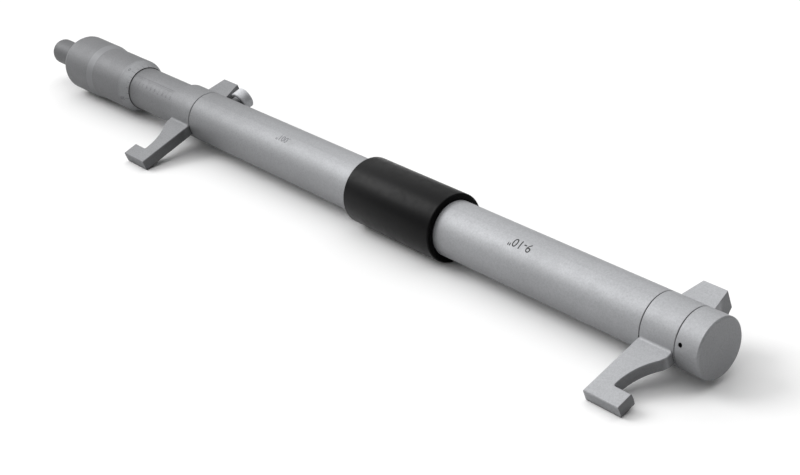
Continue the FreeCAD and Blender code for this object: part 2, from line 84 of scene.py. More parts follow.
CHROME_NODES = ("main_tube", "tube_jaw", "end_cap", "barrel_jaw", "graduated_sleeve", "thimble")
KNOB_NODES = ("ratchet_knob",)
LOCK_NODES = ("lock_screw",)
STEEL_NODES = ("end_plug", "jaw_dowel", "bush_pin", "guide_key", "spindle", "spindle_collar", "collar_pin",
               "ratchet_seat", "ratchet_screw", "barrel", "jaw_set_screw", "adjusting_nut", "ratchet_disc")
BRONZE_NODES = ("thrust_bush", "lock_pad")

# Places on the pieces that their finish and its painted light and shade follow
RING_START = 17.0 * MM          # light ring of the thimble, from its back
RING_LENGTH = 3.5 * MM
RING_EDGE = 0.2 * MM
BEVEL_LENGTH = 4.5 * MM         # bevelled front edge of the thimble, which also carries a painted highlight
BEVEL_EDGE = 0.1 * MM
BEVEL_BLEND = 0.6 * MM
THIMBLE_SHADOW_LENGTH = 8.0 * MM         # part of the sleeve beside the thimble's edge that carries a painted shadow of the thimble
THIMBLE_SHADOW_TONE = 0.80
FAINT_SHADE_REACH = 4.0 * MM            # from the tube's end: the painted shade in the joint there is fainter
FULL_SHADE_REACH = 10.0 * MM
FAINT_JOINT_SHADE = 0.35
TIP_START = 21.0 * MM           # the measuring faces lie further than this from the tube's axis
TIP_BLEND = 0.5 * MM
CROWN_DEPTH = 0.9 * MM          # how far a crowned measuring face falls back
CROWN_BLEND = 0.1 * MM
ARM_START = 10.3 * MM           # only the jaws' arms reach further than this sideways
ARM_BLEND = 1.2 * MM
NECK_END = 10.3 * MM            # the lock screw's head starts here, from the tube's axis
NECK_BLEND = 0.3 * MM
NOISE_OFFSET = (3.1, 7.7, 1.9)  # keeps the handling marks apart from the grain

# Scales and numbers
DIGIT_SHARE = 0.69              # height of a digit in the built-in typeface, as a share of its size
WRAP_STEP = 0.25 * MM           # width of the strips that flat marks are cut into before they go round
SCREW_PITCH = 25.4 * MM / 40
SLEEVE_DIVISIONS = 40
DIVISIONS_PER_NUMBER = 4
SLEEVE_LINE = 1.1 * MM
SLEEVE_LONG_LINE = 1.8 * MM
SLEEVE_DIGIT = 1.35 * MM
THIMBLE_DIVISIONS = 25
THIMBLE_NUMBER_STEP = 5
THIMBLE_LINE_START = -0.02 * MM
THIMBLE_LINE = 1.3 * MM
THIMBLE_LONG_LINE = 1.9 * MM
THIMBLE_DIGIT = 1.2 * MM
THIMBLE_NUMBER_PLACE = 3.1 * MM
RANGE_TINT = 1.0                # how much lighter than the marking colour each filling has worn
GRADUATION_TINT = 9.0
SCALE_TINT = 8.0

# Surface of the grip and the floor, which mirror little
GRIP_SPECULAR = 0.10
FLOOR_SPECULAR = 0.10


def lean_of_jaws():
    """Angle that the tool is turned about X to lie on its jaw tips, read from the lock screw's axis."""
    axis = next(j["axis"] for j in frame["joints"] if j["name"] == "lock_turn")
    return math.atan2(-axis[2], -axis[1])


def outer_radius(node):
    """Radius of a piece that is turned about X."""
    low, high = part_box(node)
    return (high.z - low.z) / 2


def rim_radius(node, x):
    """Largest radius of a turned piece at one of its ends or steps."""
    reach = [math.hypot(v.co.y, v.co.z) for v in NODES[node].data.vertices if abs(v.co.x - x) < 0.01 * MM]
    return max(reach)


# Sizes and colours that a user would change

class ChromeFinish(bpy.types.PropertyGroup):
    colour: FloatVectorProperty(name="Chrome colour", description="Colour of the satin chrome plating",
                                subtype="COLOR", size=3, min=0, max=1, default=(0.400, 0.406, 0.420))
    roughness: FloatProperty(name="Roughness", description="Mean roughness of the bead-blasted surface",
                             subtype="FACTOR", min=0, max=1, default=0.58)
    metal: FloatProperty(name="Metal", description="Share of the light that the blasted surface mirrors",
                         subtype="FACTOR", min=0, max=1, default=0.42)
    # The head and knob tones are painted shade: the plating is darker towards the thimble's end and on the
    # knob.
    head: FloatProperty(name="Head tone", subtype="FACTOR", min=0, max=1, default=0.47,
                        description="Tone of the plating at the thimble's end, beside the cap's end")
    knob: FloatProperty(name="Knob tone", description="Tone of the ratchet knob's plating",
                        subtype="FACTOR", min=0, max=1, default=0.35)
    # The lock tone is a painted highlight: the lock screw is lighter than the plating around it.
    lock: FloatProperty(name="Lock screw tone", subtype="FACTOR", min=0, max=2, default=1.75,
                        description="Tone of the plating on the lock screw, in place of the head tone")
    # The bevel tone is a painted highlight on the thimble's bevel.
    bevel: FloatProperty(name="Bevel tone", subtype="FACTOR", min=0, max=2, default=1.75,
                         description="Tone of the thimble's bevel, beside its plain front")
    grain: FloatProperty(name="Grain size", description="Size of one bead-blast dimple",
                         unit="LENGTH", default=0.16 * MM)
    mottle: FloatProperty(name="Mottle size", description="Size of the darker specks in the plating",
                          unit="LENGTH", default=0.60 * MM)
    grain_depth: FloatProperty(name="Grain depth", description="Depth of the bead-blast dimples",
                               unit="LENGTH", default=0.010 * MM)
    edge: FloatProperty(name="Edge softness", description="Radius by which the edges look eased",
                        unit="LENGTH", default=0.16 * MM)
    groove: FloatProperty(name="Groove reach", description="How far grooves and corners darken the surface",
                          unit="LENGTH", default=0.55 * MM)


class SteelFinish(bpy.types.PropertyGroup):
    colour: FloatVectorProperty(name="Steel colour", description="Colour of turned and ground tool steel",
                                subtype="COLOR", size=3, min=0, max=1, default=(0.42, 0.41, 0.40))
    bronze: FloatVectorProperty(name="Bronze colour", description="Colour of the bearing bronze",
                                subtype="COLOR", size=3, min=0, max=1, default=(0.58, 0.37, 0.16))
    spring: FloatVectorProperty(name="Spring colour", description="Colour of the drawn spring wire",
                                subtype="COLOR", size=3, min=0, max=1, default=(0.30, 0.30, 0.31))
    lathe_pitch: FloatProperty(name="Tool mark pitch", description="Distance between two turning marks",
                               unit="LENGTH", default=0.12 * MM)


class SpringShape(bpy.types.PropertyGroup):
    wire: FloatProperty(name="Wire", description="Diameter of the ratchet spring's wire", unit="LENGTH",
                        default=0.5 * MM)
    turns: FloatProperty(name="Turns", description="Turns of the ratchet spring", default=3.0)
    steps: IntProperty(name="Steps", description="Steps in one turn", default=32)
    segments: IntProperty(name="Segments", description="Sides of the wire", default=10)


class GripShape(bpy.types.PropertyGroup):
    colour: FloatVectorProperty(name="Grip colour", description="Colour of the moulded grip",
                                subtype="COLOR", size=3, min=0, max=1, default=(0.0036, 0.0036, 0.0039))
    roughness: FloatProperty(name="Roughness", description="Roughness of the satin plastic",
                             subtype="FACTOR", min=0, max=1, default=0.34)
    rim: FloatProperty(name="Rim radius", description="Rounding of the grip's outer rims",
                       unit="LENGTH", default=0.45 * MM)
    inner_rim: FloatProperty(name="Bore rim radius", description="Rounding of the rims of the grip's bore",
                             unit="LENGTH", default=0.18 * MM)
    segments: IntProperty(name="Segments", description="Steps round the grip", default=128)


class MarkSizes(bpy.types.PropertyGroup):
    colour: FloatVectorProperty(name="Marking colour", description="Colour of the filled engraving",
                                subtype="COLOR", size=3, min=0, max=1, default=(0.012, 0.012, 0.013))
    proud: FloatProperty(name="Height", description="How far the filling stands above the surface",
                         unit="LENGTH", default=0.012 * MM)
    sunk: FloatProperty(name="Depth", description="How far the filling reaches below the surface",
                        unit="LENGTH", default=0.06 * MM)
    angle: FloatProperty(name="Index angle", subtype="ANGLE", default=math.radians(100),
                         description="Angle of the index line, from +Y towards +Z, before the lean")
    line: FloatProperty(name="Line width", description="Width of one scale line",
                        unit="LENGTH", default=0.10 * MM)
    range_text: StringProperty(name="Range", description="Measuring range marked on the tube",
                               default="9-10\"")
    range_height: FloatProperty(name="Range height", description="Height of the digits of the range",
                                unit="LENGTH", default=2.7 * MM)
    range_setback: FloatProperty(name="Range place", unit="LENGTH", default=65.9 * MM,
                                 description="From the cap's face to the middle of the range")
    step_text: StringProperty(name="Graduation", description="Graduation marked on the tube",
                              default=".001\"")
    step_height: FloatProperty(name="Graduation height", description="Height of the graduation's digits",
                               unit="LENGTH", default=2.1 * MM)
    step_setback: FloatProperty(name="Graduation place", unit="LENGTH", default=174.9 * MM,
                                description="From the cap's face to the graduation's middle")


class StageSettings(bpy.types.PropertyGroup):
    camera_place: FloatVectorProperty(name="Camera", description="Place of the camera", size=3,
                                      subtype="TRANSLATION", unit="LENGTH",
                                      default=(0.2092951, -0.2645922, 0.2068452))
    camera_aim: FloatVectorProperty(name="Aim", description="Point that the camera looks at", size=3,
                                    subtype="TRANSLATION", unit="LENGTH",
                                    default=(-0.1053954, -0.0145558, 0.0))
    camera_roll: FloatProperty(name="Roll", description="Turn of the camera about its own axis",
                               subtype="ANGLE", default=math.radians(-4.3936))
    lens: FloatProperty(name="Lens", description="Focal length in millimetres on a 36 mm sensor",
                        default=70.3122)
    sun: FloatProperty(name="Key light", description="Strength of the key light from behind", default=1.15)
    sun_size: FloatProperty(name="Key light size", description="Angle that the key light spans",
                            subtype="ANGLE", default=math.radians(32))
    sun_from: FloatVectorProperty(name="Key light from", description="Direction towards the key light",
                                  subtype="DIRECTION", size=3, default=(-0.68, -0.36, 0.63))
    sky: FloatProperty(name="Softbox", description="Brightness of the large soft light overhead",
                       default=1.27)
    room: FloatProperty(name="Room", description="Brightness of the dark side of the room", default=0.04)
    sky_from: FloatVectorProperty(name="Softbox from", subtype="DIRECTION", size=3,
                                  default=(-0.42, -0.02, 0.90),
                                  description="Direction towards the soft light's middle")
    sky_reach: FloatVectorProperty(name="Softbox reach", size=2, default=(0.08, 0.90),
                                   description="Cosines at which the soft light ends and is full")
    floor: FloatVectorProperty(name="Floor colour", description="Colour of the pale floor", subtype="COLOR",
                               size=3, min=0, max=1, default=(1.0, 1.0, 1.0))
    floor_bounce: FloatProperty(name="Floor bounce", subtype="FACTOR", min=0, max=1, default=0.04,
                                description="Share of its light that the floor gives back to the object")
    floor_size: FloatProperty(name="Floor size", description="Edge of the square floor", unit="LENGTH",
                              default=30.0)


# Shader nodes

def add(tree, kind, sockets=None, **settings):
    """Adds a node to the tree. Each socket is given as a value or as the output that feeds it."""
    made = tree.nodes.new(kind)
    for name, value in settings.items():
        setattr(made, name, value)
    for name, value in (sockets or {}).items():
        if isinstance(value, bpy.types.NodeSocket):
            tree.links.new(value, made.inputs[name])
        else:
            made.inputs[name].default_value = value
    return made


def maths(tree, operation, first, second=0.0):
    return add(tree, "ShaderNodeMath", {0: first, 1: second}, operation=operation).outputs[0]


def ramp(tree, value, low, high, out_low=0.0, out_high=1.0, **settings):
    """Value mapped from low..high to out_low..out_high, clamped."""
    return add(tree, "ShaderNodeMapRange", {"Value": value, "From Min": low, "From Max": high,
                                            "To Min": out_low, "To Max": out_high},
               clamp=True, **settings).outputs["Result"]


def dotted(tree, first, second):
    """Dot product of two vectors."""
    return add(tree, "ShaderNodeVectorMath", {0: first, 1: second},
               operation="DOT_PRODUCT").outputs["Value"]


def mixed(tree, factor, first, second):
    """Colour that goes from the first to the second as the factor rises."""
    made = add(tree, "ShaderNodeMix", data_type="RGBA")
    for socket, value in ((made.inputs[0], factor), (made.inputs[6], first), (made.inputs[7], second)):
        if isinstance(value, bpy.types.NodeSocket):
            tree.links.new(value, socket)
        else:
            socket.default_value = value
    return made.outputs[2]


def parts_of(tree, vector):
    """The X, Y and Z of a vector."""
    return add(tree, "ShaderNodeSeparateXYZ", {0: vector}).outputs


def noise(tree, vector, scale, detail=2.0, roughness=0.5):
    return add(tree, "ShaderNodeTexNoise", {"Vector": vector, "Scale": scale, "Detail": detail,
                                            "Roughness": roughness}).outputs["Fac"]


def effect_group(name, inputs, outputs):
    """New shader node group. Inputs have a name, a kind and a default value, outputs a name and a kind."""
    tree = bpy.data.node_groups.new(name, "ShaderNodeTree")
    for label, kind, default in inputs:
        socket = tree.interface.new_socket(label, in_out="INPUT", socket_type="NodeSocket" + kind)
        if default is not None:
            socket.default_value = default
    for label, kind in outputs:
        tree.interface.new_socket(label, in_out="OUTPUT", socket_type="NodeSocket" + kind)
    return tree, tree.nodes.new("NodeGroupInput").outputs, tree.nodes.new("NodeGroupOutput").inputs


def blast_grain_group():
    """Fine dimples of a bead-blasted surface: their height, and flecks that catch the light."""
    tree, given, result = effect_group("blast_grain",
                                       [("Place", "Vector", None), ("Size", "Float", 0.15 * MM)],
                                       [("Height", "Float"), ("Fleck", "Float")])
    scale = maths(tree, "DIVIDE", 1.0, given["Size"])
    fine = noise(tree, given["Place"], scale, 3.0, 0.6)
    coarse = noise(tree, given["Place"], maths(tree, "MULTIPLY", scale, 0.37), 2.0, 0.5)
    height = maths(tree, "ADD", maths(tree, "MULTIPLY", fine, 0.65), maths(tree, "MULTIPLY", coarse, 0.35))
    tree.links.new(height, result["Height"])
    tree.links.new(ramp(tree, height, 0.34, 0.66), result["Fleck"])
    return tree


def handling_group():
    """Slow, cloudy changes that plating and handling leave on a surface."""
    tree, given, result = effect_group("handling_cloud",
                                       [("Place", "Vector", None), ("Size", "Float", 20 * MM)],
                                       [("Cloud", "Float"), ("Smear", "Float")])
    scale = maths(tree, "DIVIDE", 1.0, given["Size"])
    moved = add(tree, "ShaderNodeVectorMath", {0: given["Place"], 1: NOISE_OFFSET},
                operation="ADD").outputs[0]
    wide = noise(tree, moved, scale, 2.0, 0.5)
    close = noise(tree, moved, maths(tree, "MULTIPLY", scale, 5.3), 4.0, 0.65)
    tree.links.new(ramp(tree, wide, 0.3, 0.7), result["Cloud"])
    tree.links.new(ramp(tree, close, 0.42, 0.72), result["Smear"])
    return tree


def soft_edge_group():
    """Normal that looks eased over sharp edges, and a mask of those edges."""
    tree, given, result = effect_group("soft_edge", [("Radius", "Float", 0.15 * MM)],
                                       [("Normal", "Vector"), ("Edge", "Float")])
    eased = add(tree, "ShaderNodeBevel", {"Radius": given["Radius"]}, samples=6).outputs["Normal"]
    flat = add(tree, "ShaderNodeNewGeometry").outputs["Normal"]
    tree.links.new(eased, result["Normal"])
    away = maths(tree, "SUBTRACT", 1.0, dotted(tree, eased, flat))
    tree.links.new(ramp(tree, away, 0.01, 0.16), result["Edge"])
    return tree


def groove_group():
    """Masks of painted shade in joints and inner corners, and in deep holes without light."""
    tree, given, result = effect_group("groove_shade", [("Reach", "Float", 0.5 * MM)],
                                       [("Groove", "Float"), ("Hole", "Float")])
    near = add(tree, "ShaderNodeAmbientOcclusion", {"Distance": given["Reach"]}, samples=8).outputs["AO"]
    tree.links.new(ramp(tree, near, 0.88, 0.50), result["Groove"])
    reach = maths(tree, "MULTIPLY", given["Reach"], 6.0)
    far = add(tree, "ShaderNodeAmbientOcclusion", {"Distance": reach}, samples=8).outputs["AO"]
    tree.links.new(ramp(tree, far, 0.42, 0.24), result["Hole"])
    return tree


def lathe_group():
    """Fine turning marks in rings about X."""
    tree, given, result = effect_group("lathe_marks",
                                       [("Place", "Vector", None), ("Pitch", "Float", 0.1 * MM)],
                                       [("Height", "Float")])
    along = parts_of(tree, given["Place"])["X"]
    line = add(tree, "ShaderNodeCombineXYZ", {"X": along}).outputs[0]
    scale = maths(tree, "DIVIDE", 1.0, given["Pitch"])
    tree.links.new(noise(tree, line, scale, 2.0, 0.6), result["Height"])
    return tree


def plating_specks_group():
    """Darker specks in the plating."""
    tree, given, result = effect_group("plating_specks",
                                       [("Place", "Vector", None), ("Size", "Float", 0.6 * MM)],
                                       [("Speck", "Float")])
    specks = noise(tree, given["Place"], maths(tree, "DIVIDE", 1.0, given["Size"]), 3.0, 0.7)
    tree.links.new(ramp(tree, specks, 0.60, 0.34), result["Speck"])
    return tree


def plating_tone_group():
    """Painted light and shade along the tool, mask of the thimble's light ring, and strength of the painted
    joint shade.
    """
    tree, given, result = effect_group("painted_light_tone",
                                       [("Place", "Vector", None), ("Head", "Float", 0.5),
                                        ("Bevel", "Float", 1.5)],
                                       [("Tone", "Float"), ("Ring", "Float"), ("Joint", "Float")])
    along = parts_of(tree, given["Place"])["X"]
    back, edge = (corner.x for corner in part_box("thimble"))
    # painted shade: darker towards the thimble's end and beyond it
    tone = ramp(tree, along, edge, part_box("grip_sleeve")[0].x, given["Head"], 1.0)
    bevel_end = edge - BEVEL_LENGTH
    # a painted shadow of the thimble on the sleeve beside its edge
    steps = [(edge + THIMBLE_SHADOW_LENGTH, edge, THIMBLE_SHADOW_TONE),
             # a painted highlight on the thimble's bevel, which faces away from the key light
             (edge, edge - BEVEL_EDGE, maths(tree, "DIVIDE", given["Bevel"], THIMBLE_SHADOW_TONE)),
             (bevel_end + BEVEL_BLEND, bevel_end - BEVEL_BLEND, maths(tree, "DIVIDE", 1.0, given["Bevel"]))]
    for start, end, change in steps:
        tone = maths(tree, "MULTIPLY", tone, ramp(tree, along, start, end, 1.0, change))
    tree.links.new(tone, result["Tone"])
    off_ring = maths(tree, "ABSOLUTE", maths(tree, "SUBTRACT", along, back + RING_START + RING_LENGTH / 2))
    tree.links.new(ramp(tree, off_ring, RING_LENGTH / 2, RING_LENGTH / 2 - RING_EDGE), result["Ring"])
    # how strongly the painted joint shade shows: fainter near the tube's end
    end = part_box("main_tube")[0].x
    tree.links.new(ramp(tree, along, end + FAINT_SHADE_REACH, end + FULL_SHADE_REACH, FAINT_JOINT_SHADE, 1.0), result["Joint"])
    return tree


def use_group(tree, name, **sockets):
    """Places one of the effect groups, built once, in a material."""
    builders = {"blast_grain": blast_grain_group, "handling_cloud": handling_group,
                "soft_edge": soft_edge_group, "groove_shade": groove_group, "lathe_marks": lathe_group,
                "plating_specks": plating_specks_group, "painted_light_tone": plating_tone_group}
    effect = bpy.data.node_groups.get(name) or builders[name]()
    made = tree.nodes.new("ShaderNodeGroup")
    made.node_tree = effect
    for label, value in sockets.items():
        if isinstance(value, bpy.types.NodeSocket):
            tree.links.new(value, made.inputs[label])
        else:
            made.inputs[label].default_value = value
    return made.outputs


def new_material(name):
    """Empty node material with its surface shader and the object's own coordinates."""
    material = bpy.data.materials.new(name)
    material.use_nodes = True
    tree = material.node_tree
    tree.nodes.clear()
    shader = tree.nodes.new("ShaderNodeBsdfPrincipled")
    tree.links.new(shader.outputs["BSDF"], tree.nodes.new("ShaderNodeOutputMaterial").inputs["Surface"])
    place = tree.nodes.new("ShaderNodeTexCoord").outputs["Object"]
    return material, tree, shader, place


def feed(tree, shader, **sockets):
    """Links or sets the surface shader's sockets, whose names are given with underscores."""
    for label, value in sockets.items():
        socket = shader.inputs[label.replace("_", " ")]
        if isinstance(value, bpy.types.NodeSocket):
            tree.links.new(value, socket)
        else:
            socket.default_value = value


def opaque(colour, share=1.0):
    """A colour, darkened or lightened by a share, as four values."""
    return tuple(min(1.0, c * share) for c in colour) + (1.0,)


def shaded(tree, tone, mask, colour, towards, share=1.0):
    """Tone that goes a share of the way towards a darker or lighter colour where the mask is full."""
    if share < 1.0:
        mask = maths(tree, "MULTIPLY", mask, share)
    return mixed(tree, mask, tone, opaque(colour, towards))


def clouded(tree, cloud, colour, low, high):
    """Colour that drifts between two tones with the slow clouds of handling."""
    return mixed(tree, cloud["Cloud"], opaque(colour, low), opaque(colour, high))


def changed(tree, value, mask, share):
    """Value that the mask raises, or lowers where the share is negative."""
    return maths(tree, "ADD", value, maths(tree, "MULTIPLY", mask, share))


def bumped(tree, height, depth, strength, normal=None):
    """Normal that a height pattern roughens, over the eased normal where one is given."""
    sockets = {"Height": height, "Distance": depth, "Strength": strength}
    if normal:
        sockets["Normal"] = normal
    return add(tree, "ShaderNodeBump", sockets).outputs[0]


def facing_along(tree, normal="True Normal"):
    """How far the surface faces along the tool, from 0 to 1."""
    return maths(tree, "ABSOLUTE", parts_of(tree, add(tree, "ShaderNodeNewGeometry").outputs[normal])["X"])


def ground_face(tree, place):
    """Mask of the measuring faces, which are ground and lapped across the tips of the long arms."""
    spot = parts_of(tree, place)
    across = ramp(tree, facing_along(tree), 0.93, 0.97)
    out_on_arm = ramp(tree, spot["Y"], -TIP_START, -TIP_START - TIP_BLEND)
    at_face = 0.0
    for contact in (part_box("tube_jaw")[1].x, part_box("barrel_jaw")[0].x):
        off = maths(tree, "ABSOLUTE", maths(tree, "SUBTRACT", spot["X"], contact))
        at_face = maths(tree, "MAXIMUM", at_face, ramp(tree, off, CROWN_DEPTH, CROWN_DEPTH - CROWN_BLEND))
    return maths(tree, "MULTIPLY", maths(tree, "MULTIPLY", across, out_on_arm), at_face)


def milled_side(tree, place):
    """Mask of the arms' milled sides that face along the tool, which are painted darker as shade than their
    broad faces.
    """
    sideways = maths(tree, "ABSOLUTE", parts_of(tree, place)["Y"])
    across = ramp(tree, facing_along(tree), 0.20, 0.45)
    return maths(tree, "MULTIPLY", across, ramp(tree, sideways, ARM_START, ARM_START + ARM_BLEND))


def screw_neck(tree, place):
    """Mask of the lock screw's neck below its head, which is painted darker as shade."""
    spot = parts_of(tree, place)
    off_axis = maths(tree, "SQRT", maths(tree, "ADD", maths(tree, "POWER", spot["Y"], 2.0),
                                         maths(tree, "POWER", spot["Z"], 2.0)))
    return ramp(tree, off_axis, NECK_END + NECK_BLEND, NECK_END)


def satin_chrome(finish, name, head, arms=False, neck=False):
    """Bead-blasted plating with painted light and shade, also with the jaws' ground faces and painted shade
    on their milled sides, or painted shade on the lock screw's neck.
    """
    material, tree, shader, place = new_material(name)
    grain = use_group(tree, "blast_grain", Place=place, Size=finish.grain)
    cloud = use_group(tree, "handling_cloud", Place=place, Size=24 * MM)
    specks = use_group(tree, "plating_specks", Place=place, Size=finish.mottle)
    edge = use_group(tree, "soft_edge", Radius=finish.edge)
    groove = use_group(tree, "groove_shade", Reach=finish.groove)
    # tone along the tool: painted shade towards the thimble's end, a painted shadow beside its edge, a
    # painted highlight on its bevel
    plating = use_group(tree, "painted_light_tone", Place=place, Head=head, Bevel=finish.bevel)
    colour = finish.colour
    dull = changed(tree, finish.roughness - 0.03, cloud["Smear"], 0.06)
    dull = changed(tree, dull, edge["Edge"], -0.08)

    tone = clouded(tree, cloud, colour, 0.92, 1.05)
    tone = shaded(tree, tone, specks["Speck"], colour, towards=0.62, share=0.45)
    tone = shaded(tree, tone, grain["Fleck"], colour, towards=1.55, share=0.30)
    # edges lighter, partly as wear and partly as a painted highlight
    tone = shaded(tree, tone, edge["Edge"], colour, towards=1.5, share=0.35)
    tone = shaded(tree, tone, plating["Ring"], colour, towards=1.5, share=0.85)
    tone = add(tree, "ShaderNodeVectorMath", {0: tone, "Scale": plating["Tone"]},
               operation="SCALE").outputs[0]
    # painted shade in joints and inner corners, fainter near the tube's end, and in deep holes
    joint = maths(tree, "MULTIPLY", groove["Groove"], plating["Joint"])
    tone = shaded(tree, tone, joint, colour, towards=0.08)
    tone = shaded(tree, tone, groove["Hole"], colour, towards=0.02)
    if neck:
        # painted shade on the lock screw's neck below its head
        tone = shaded(tree, tone, screw_neck(tree, place), colour, towards=0.30)
    if arms:
        # painted shade on the arms' milled sides that face along the tool
        tone = shaded(tree, tone, milled_side(tree, place), colour, towards=0.25, share=0.45)
        ground = ground_face(tree, place)
        tone = shaded(tree, tone, ground, colour, towards=0.32, share=0.7)
        dull = changed(tree, dull, ground, -0.20)

    normal = bumped(tree, grain["Height"], finish.grain_depth, 0.55, edge["Normal"])
    feed(tree, shader, Base_Color=tone, Metallic=finish.metal, Roughness=dull, Normal=normal)
    return material


def ground_steel(finish):
    """Turned and ground steel of the inner works."""
    material, tree, shader, place = new_material("ground_steel")
    marks = use_group(tree, "lathe_marks", Place=place, Pitch=finish.lathe_pitch)
    cloud = use_group(tree, "handling_cloud", Place=place, Size=12 * MM)
    groove = use_group(tree, "groove_shade", Reach=0.5 * MM)
    edge = use_group(tree, "soft_edge", Radius=0.10 * MM)
    tone = clouded(tree, cloud, finish.colour, 0.85, 1.12)
    # painted shade in grooves and inner corners
    tone = shaded(tree, tone, groove["Groove"], finish.colour, towards=0.12, share=0.8)
    dull = changed(tree, 0.24, cloud["Smear"], 0.12)
    normal = bumped(tree, marks["Height"], 0.004 * MM, 0.4, edge["Normal"])
    feed(tree, shader, Base_Color=tone, Metallic=1.0, Roughness=dull, Normal=normal)
    return material


def bearing_bronze(finish):
    """Turned bronze of the bearing and the lock pad."""
    material, tree, shader, place = new_material("bearing_bronze")
    marks = use_group(tree, "lathe_marks", Place=place, Pitch=finish.lathe_pitch)
    cloud = use_group(tree, "handling_cloud", Place=place, Size=6 * MM)
    tone = clouded(tree, cloud, finish.bronze, 0.75, 1.1)
    dull = changed(tree, 0.28, cloud["Smear"], 0.2)
    normal = bumped(tree, marks["Height"], 0.005 * MM, 0.4)
    feed(tree, shader, Base_Color=tone, Metallic=1.0, Roughness=dull, Normal=normal)
    return material


def spring_wire(finish):
    """Drawn wire of the ratchet's spring."""
    material, tree, shader, place = new_material("spring_wire")
    cloud = use_group(tree, "handling_cloud", Place=place, Size=2 * MM)
    tone = clouded(tree, cloud, finish.spring, 0.7, 1.2)
    feed(tree, shader, Base_Color=tone, Metallic=1.0, Roughness=changed(tree, 0.22, cloud["Smear"], 0.15))
    return material


def moulded_black(shape):
    """Satin plastic whose end faces are duller and darker than its side."""
    material, tree, shader, place = new_material("moulded_black")
    grain = use_group(tree, "blast_grain", Place=place, Size=0.22 * MM)
    cloud = use_group(tree, "handling_cloud", Place=place, Size=14 * MM)
    end_face = ramp(tree, facing_along(tree, "Normal"), 0.85, 0.99)
    tone = clouded(tree, cloud, shape.colour, 0.85, 1.2)
    tone = shaded(tree, tone, grain["Fleck"], shape.colour, towards=2.4, share=0.25)
    tone = shaded(tree, tone, end_face, shape.colour, towards=0.35)
    dull = changed(tree, shape.roughness, cloud["Smear"], 0.10)
    dull = changed(tree, dull, end_face, 0.35)
    normal = bumped(tree, grain["Height"], 0.012 * MM, 0.35)
    feed(tree, shader, Base_Color=tone, Roughness=dull, Normal=normal, Specular_IOR_Level=GRIP_SPECULAR)
    return material


def mark_filling(sizes, name, tint):
    """Filling of an engraving, in the marking colour lightened by a tint."""
    material, tree, shader, place = new_material(name)
    grain = use_group(tree, "blast_grain", Place=place, Size=0.10 * MM)
    tone = mixed(tree, grain["Fleck"], opaque(sizes.colour, tint), opaque(sizes.colour, 1.8 * tint))
    feed(tree, shader, Base_Color=tone, Roughness=0.65)
    return material


def dress(nodes, material):
    """Gives the finish to CAD pieces, through their material slots."""
    for name in nodes:
        for slot in NODES[name].material_slots:
            slot.material = material


# New pieces

def new_piece(name, mesh, body, replaced=()):
    """Turns a finished bmesh into a piece that rides on a body."""
    data = bpy.data.meshes.new(name)
    mesh.to_mesh(data)
    mesh.free()
    piece = bpy.data.objects.new(name, data)
    bpy.context.scene.collection.objects.link(piece)
    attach(piece, body)
    if replaced:
        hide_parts(*replaced)
    return piece


def turned(outline, segments):
    """Closed shell turned about X from a closed half outline, a list of (x, radius)."""
    mesh = bmesh.new()
    verts = [mesh.verts.new((x, 0, radius)) for x, radius in outline]
    edges = [mesh.edges.new((a, b)) for a, b in zip(verts, verts[1:] + verts[:1])]
    bmesh.ops.spin(mesh, geom=verts + edges, cent=(0, 0, 0), axis=(1, 0, 0), angle=math.tau, steps=segments,
                   use_merge=True)
    bmesh.ops.remove_doubles(mesh, verts=mesh.verts, dist=MATCH)
    bmesh.ops.recalc_face_normals(mesh, faces=mesh.faces)
    return mesh


def rings_at(mesh, places):
    """Edges that run round X at the given (x, radius) places."""
    found = []
    for edge in mesh.edges:
        for x, radius in places:
            off = [max(abs(v.co.x - x), abs(math.hypot(v.co.y, v.co.z) - radius)) for v in edge.verts]
            if max(off) < MATCH:
                found.append(edge)
    return found


def slab(mesh, x0, x1, y0, y1, sizes):
    """One scale line, as a thin flat bar with its top just above z = 0."""
    size = Matrix.Diagonal((x1 - x0, y1 - y0, sizes.proud + sizes.sunk, 1))
    centre = Matrix.Translation(((x0 + x1) / 2, (y0 + y1) / 2, (sizes.proud - sizes.sunk) / 2))
    bmesh.ops.create_cube(mesh, size=1, matrix=centre @ size)


def lettering(mesh, text, height, x, y, sizes):
    """Adds text as thin flat solids, centred on (x, y), reading along +X with its top towards +Y."""
    curve = bpy.data.curves.new("lettering", "FONT")
    curve.body = text
    curve.align_x = "CENTER"
    curve.align_y = "CENTER"
    curve.resolution_u = 4
    curve.size = height / DIGIT_SHARE
    curve.extrude = (sizes.proud + sizes.sunk) / 2
    holder = bpy.data.objects.new("lettering", curve)
    bpy.context.scene.collection.objects.link(holder)
    bpy.context.view_layer.update()
    data = bpy.data.meshes.new_from_object(holder.evaluated_get(bpy.context.evaluated_depsgraph_get()))
    data.transform(Matrix.Translation((x, y, (sizes.proud - sizes.sunk) / 2)))
    mesh.from_mesh(data)
    bpy.data.objects.remove(holder)
    bpy.data.meshes.remove(data)
    bpy.data.curves.remove(curve)


def wrap(mesh, x, angle, radius_at):
    """Lays flat marks round X, so that they read towards -X and their tops lie at larger angles."""
    bmesh.ops.remove_doubles(mesh, verts=mesh.verts, dist=0.1 * MATCH)
    low = min(v.co.y for v in mesh.verts)
    high = max(v.co.y for v in mesh.verts)
    for i in range(1, math.ceil((high - low) / WRAP_STEP)):
        bmesh.ops.bisect_plane(mesh, geom=mesh.verts[:] + mesh.edges[:] + mesh.faces[:],
                               dist=0.01 * MATCH, plane_co=(0, low + i * WRAP_STEP, 0),
                               plane_no=(0, 1, 0))
    for vert in mesh.verts:
        along = x - vert.co.x
        radius = radius_at(along)
        turn = angle + vert.co.y / radius
        reach = radius + vert.co.z
        vert.co = (along, reach * math.cos(turn), reach * math.sin(turn))
    bmesh.ops.recalc_face_normals(mesh, faces=mesh.faces)


# Operators

